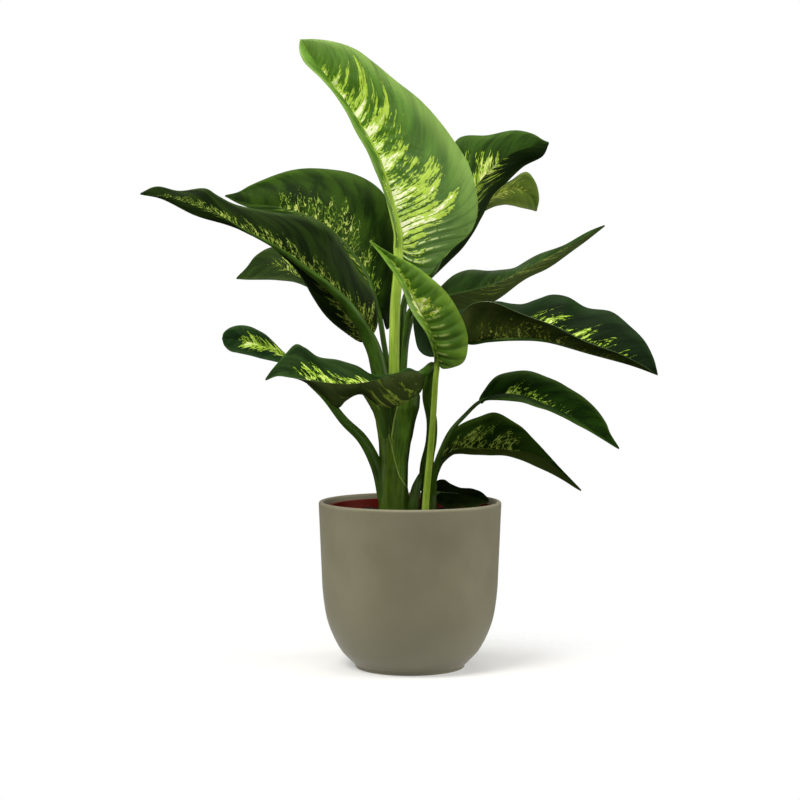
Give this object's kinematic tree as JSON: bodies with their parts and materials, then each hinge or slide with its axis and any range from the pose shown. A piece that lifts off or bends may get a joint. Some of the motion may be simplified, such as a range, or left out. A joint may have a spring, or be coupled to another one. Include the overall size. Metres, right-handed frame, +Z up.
{
  "type": "potted dieffenbachia",
  "caption": "Broad-leaved foliage houseplant with a thick sheathed cane and arching variegated leaves, in soil in a plastic pot set inside a plain round stoneware cachepot.",
  "frame": {"origin": "centre of the cachepot's flat underside, on the surface that it stands on", "axes": "+Z up; the picture looks along +Y, so +X is to its right and -Y is the side nearest to the viewer"},
  "size_m": [0.5129, 0.2665, 0.6552],
  "materials": {
    "cachepot": "matte",
    "nursery_pot": "satin",
    "soil": "matte",
    "stem": "satin",
    "bright_leaf": "satin",
    "dark_leaf": "satin"
  },
  "bodies": {
    "root": {"cachepot": "cachepot", "nursery_pot": "nursery_pot", "soil": "soil", "cane": "stem", "side_shoot": "stem", "leaf_a": "bright_leaf", "leaf_b": "dark_leaf", "leaf_c": "dark_leaf", "leaf_d": "dark_leaf", "leaf_e": "dark_leaf", "leaf_f": "dark_leaf", "leaf_g": "dark_leaf", "leaf_h": "dark_leaf", "leaf_i": "dark_leaf", "leaf_j": "dark_leaf", "leaf_k": "dark_leaf", "leaf_m": "dark_leaf", "leaf_n": "dark_leaf", "leaf_o": "dark_leaf"}
  },
  "joints": []
}
